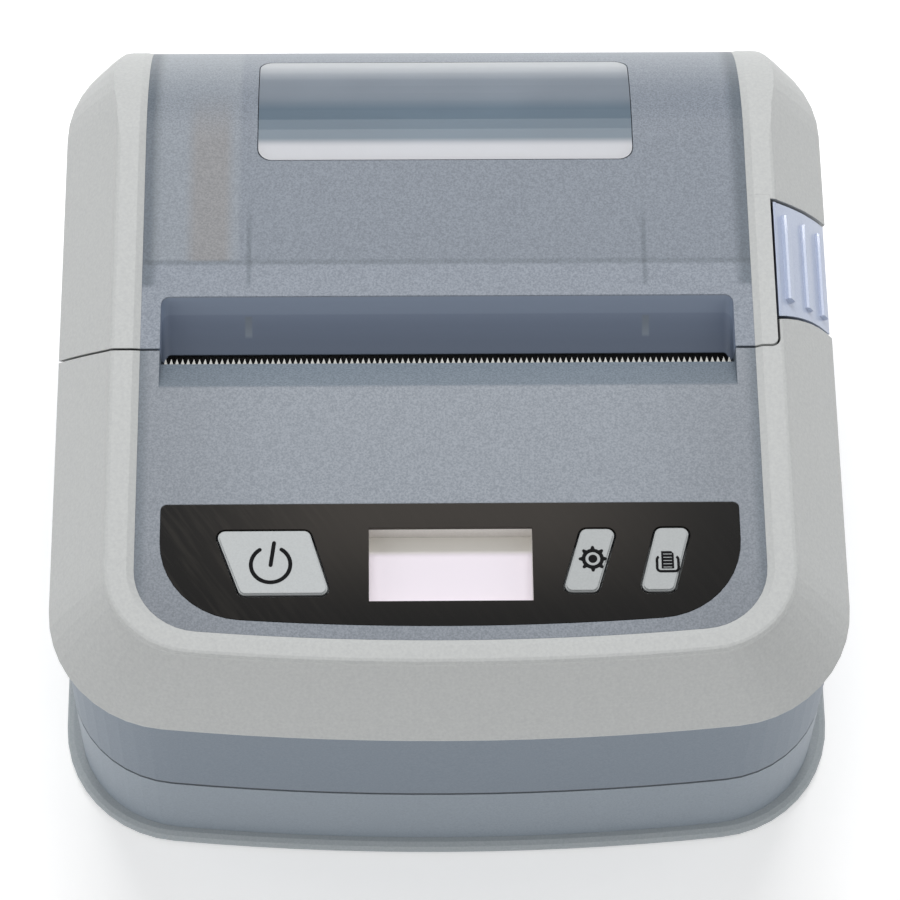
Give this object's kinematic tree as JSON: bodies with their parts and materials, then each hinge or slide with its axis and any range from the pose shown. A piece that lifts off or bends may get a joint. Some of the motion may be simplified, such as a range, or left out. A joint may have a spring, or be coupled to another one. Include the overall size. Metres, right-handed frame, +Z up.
{
  "type": "portable barcode printer",
  "caption": "Battery label printer with a control panel, a toothed paper slot and a hinged lid with a clear window over the paper roll.",
  "frame": {"origin": "on the table under the middle of the printer, at the bottom of the rim", "axes": "+X to the right as the user faces the panel, +Y to the back, +Z up"},
  "size_m": [0.114, 0.1182, 0.0555],
  "materials": {
    "grey_shell": "fine moulded grain",
    "blue_shell": "painted with fine sparkle",
    "dark_shell": "moulded",
    "rim_rubber": "moulded",
    "gloss_overlay": "polished",
    "button_cap": "moulded",
    "cream_plastic": "moulded",
    "display_glass": "polished",
    "window_glass": "polished clear",
    "latch_plastic": "satin",
    "steel": "brushed",
    "black_plastic": "moulded",
    "board": "solder mask",
    "gear_plastic": "moulded",
    "brass": "turned",
    "platen_rubber": "ground",
    "ceramic": null,
    "heatsink": "extruded",
    "cell_wrap": "shrink film",
    "contact_plate": "plated"
  },
  "bodies": {
    "case": {"lower_case": "blue_shell", "bottom_bumper": "rim_rubber", "upper_case": "blue_shell", "paper_tray": "blue_shell", "front_bumper": "grey_shell", "front_panel": "blue_shell", "control_overlay": "gloss_overlay", "display_bezel": "cream_plastic", "display_lens": "display_glass", "display_module": "steel", "control_board": "board", "tact_switches": "steel", "tear_bar": "steel", "thermal_head": "ceramic", "head_heatsink": "heatsink", "head_springs": "steel", "print_chassis": "steel", "drive_motor": "steel", "head_cable": "cream_plastic", "main_board": "board", "battery_pack": "cell_wrap", "battery_contacts": "contact_plate", "io_board": "board", "usb_port": "steel", "charge_jack": "black_plastic", "media_sensor": "black_plastic", "cover_switch": "black_plastic", "latch_guide": "dark_shell", "latch_spring": "steel", "hinge_pins": "steel", "lid_spring": "steel", "case_screws": "steel", "chassis_screws": "steel"},
    "lid": {"lid_shell": "blue_shell", "lid_window": "window_glass", "lid_rail_left": "grey_shell", "lid_rail_right": "grey_shell", "lid_ledge_right": "grey_shell", "platen_frame": "dark_shell", "lid_catch": "steel", "platen_bushes": "cream_plastic"},
    "platen": {"platen_roller": "platen_rubber", "platen_shaft": "steel", "platen_gear": "gear_plastic"},
    "idler": {"idler_gear": "gear_plastic"},
    "motor_gear": {"motor_pinion": "brass"},
    "latch": {"latch_button": "latch_plastic"},
    "power_key": {"power_button": "button_cap"},
    "settings_key": {"settings_button": "button_cap"},
    "feed_key": {"feed_button": "button_cap"},
    "left_guide": {"guide_left": "dark_shell", "rack_left": "dark_shell"},
    "right_guide": {"guide_right": "dark_shell", "rack_right": "dark_shell"},
    "guide_gear": {"guide_pinion": "gear_plastic"},
    "door": {"battery_door": "blue_shell"},
    "port_flap": {"port_cover": "dark_shell"}
  },
  "joints": [
    {"name": "lid_hinge", "type": "hinge", "parent": "case", "child": "lid", "pos_m": [0, 0.05615, 0.0246], "axis": [-1, 0, 0], "range_deg": [0, 90]},
    {"name": "latch_slide", "type": "slide", "parent": "case", "child": "latch", "axis": [0.5341, 0.2166, -0.8172], "range_m": [0, 0.0025], "stiffness_N_per_m": 400, "springref_m": -0.001},
    {"name": "power_press", "type": "slide", "parent": "case", "child": "power_key", "axis": [0, 0, -1], "range_m": [0, 0.0005], "stiffness_N_per_m": 300, "springref_m": -0.0008},
    {"name": "settings_press", "type": "slide", "parent": "case", "child": "settings_key", "axis": [0, 0, -1], "range_m": [0, 0.0005], "stiffness_N_per_m": 300, "springref_m": -0.0008},
    {"name": "feed_press", "type": "slide", "parent": "case", "child": "feed_key", "axis": [0, 0, -1], "range_m": [0, 0.0005], "stiffness_N_per_m": 300, "springref_m": -0.0008},
    {"name": "platen_spin", "type": "hinge", "parent": "lid", "child": "platen", "pos_m": [0, 0.00105, 0.044], "axis": [1, 0, 0], "continuous": true},
    {"name": "idler_spin", "type": "hinge", "parent": "case", "child": "idler", "pos_m": [-0.0462, -0.0031, 0.03221], "axis": [1, 0, 0], "continuous": true},
    {"name": "motor_spin", "type": "hinge", "parent": "case", "child": "motor_gear", "pos_m": [-0.0462, -0.01333, 0.02985], "axis": [1, 0, 0], "continuous": true},
    {"name": "guide_left_slide", "type": "slide", "parent": "case", "child": "left_guide", "axis": [1, 0, 0], "range_m": [0, 0.013]},
    {"name": "guide_right_slide", "type": "slide", "parent": "case", "child": "right_guide", "axis": [-1, 0, 0], "range_m": [0, 0.013]},
    {"name": "guide_gear_spin", "type": "hinge", "parent": "case", "child": "guide_gear", "pos_m": [0, 0.001, 0.00575], "axis": [0, 0, 1], "range_deg": [-5, 140]},
    {"name": "battery_door_slide", "type": "slide", "parent": "case", "child": "door", "axis": [0, 1, 0], "range_m": [0, 0.0035]},
    {"name": "port_cover_hinge", "type": "hinge", "parent": "case", "child": "port_flap", "pos_m": [-0.0553, 0.0413, 0.028], "axis": [0, 0, -1], "range_deg": [0, 100]}
  ],
  "couplings": [
    {"joint": "idler_spin", "follows": "platen_spin", "ratio": -0.66667},
    {"joint": "motor_spin", "follows": "platen_spin", "ratio": 1.6667},
    {"joint": "guide_right_slide", "follows": "guide_left_slide", "ratio": 1},
    {"joint": "guide_gear_spin", "follows": "guide_left_slide", "rad_per_m": 178.57}
  ]
}
